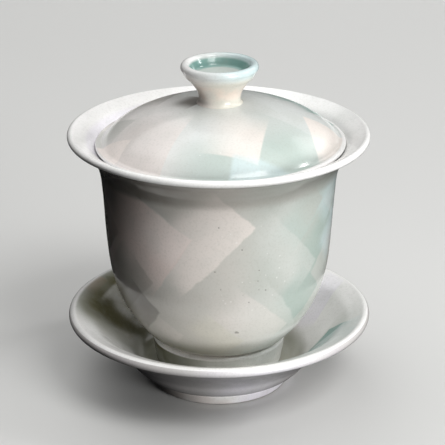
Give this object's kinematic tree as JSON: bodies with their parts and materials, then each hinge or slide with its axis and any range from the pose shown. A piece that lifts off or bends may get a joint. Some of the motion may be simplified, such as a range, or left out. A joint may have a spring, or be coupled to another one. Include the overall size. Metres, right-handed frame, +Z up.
{
  "type": "gaiwan",
  "caption": "Lidded tea bowl on its own saucer: a deep cup with a flared lip, a low domed lid with a hollow-topped knob, and a flared saucer on a foot ring.",
  "frame": {"origin": "centre of the circle that the saucer's foot ring stands on", "axes": "+Z up along the common axis of the saucer and the cup; +X towards the side the lid is settled to"},
  "size_m": [0.1004, 0.1004, 0.1109],
  "materials": {
    "saucer_glaze": "glossy celadon and white glaze",
    "saucer_foot_glaze": "thin clear glaze, bare clay where it stands",
    "cup_glaze": "glossy glaze in overlapping pale patches",
    "cup_foot_glaze": "glossy pale glaze, bare clay where it stands",
    "lid_glaze": "glossy glaze in overlapping pale patches",
    "knob_glaze": "glossy cream glaze, teal where it pools"
  },
  "bodies": {
    "saucer": {"saucer_dish": "saucer_glaze", "saucer_foot_ring": "saucer_foot_glaze"},
    "cup": {"cup_bowl": "cup_glaze", "cup_foot_ring": "cup_foot_glaze"},
    "lid": {"lid_dome": "lid_glaze", "lid_knob": "knob_glaze"}
  },
  "joints": [
    {"name": "cup_lift", "type": "slide", "parent": "saucer", "child": "cup", "axis": [0, 0, 1], "range_m": [0, 0.1]},
    {"name": "lid_lift", "type": "slide", "parent": "cup", "child": "lid", "axis": [0, 0, 1], "range_m": [0, 0.08]}
  ]
}
